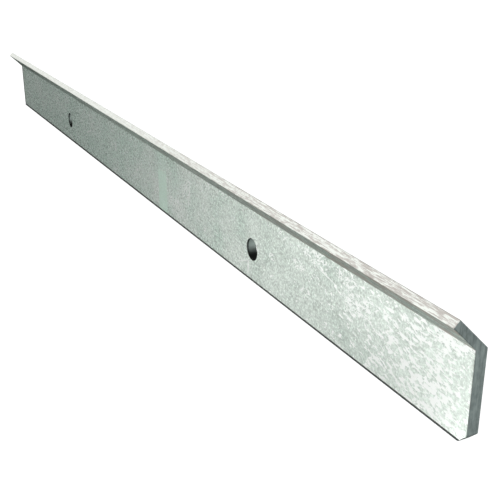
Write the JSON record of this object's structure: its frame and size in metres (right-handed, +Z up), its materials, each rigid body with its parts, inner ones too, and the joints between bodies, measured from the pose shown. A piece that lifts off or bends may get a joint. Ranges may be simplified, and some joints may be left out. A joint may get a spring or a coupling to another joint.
{
  "type": "atv plow blade cutting edge",
  "caption": "Flat galvanised steel cutting edge for a small snow plow blade, with a forward lip along the top, bolt holes through the plate and a clipped lower corner.",
  "frame": {"origin": "midway between the two bolt holes, on the flat back face of the plate", "axes": "+X along the bar towards the end with the clipped lower corner, +Y out of the back face towards the plow blade, +Z up"},
  "size_m": [0.762, 0.0185, 0.0598],
  "materials": {
    "galvanised_steel": "hot-dip galvanised, fine mottled spangle, pale green-grey, scuffed and slightly brushed on the lip's tip"
  },
  "bodies": {
    "root": {"wear_bar": "galvanised_steel"}
  },
  "joints": []
}
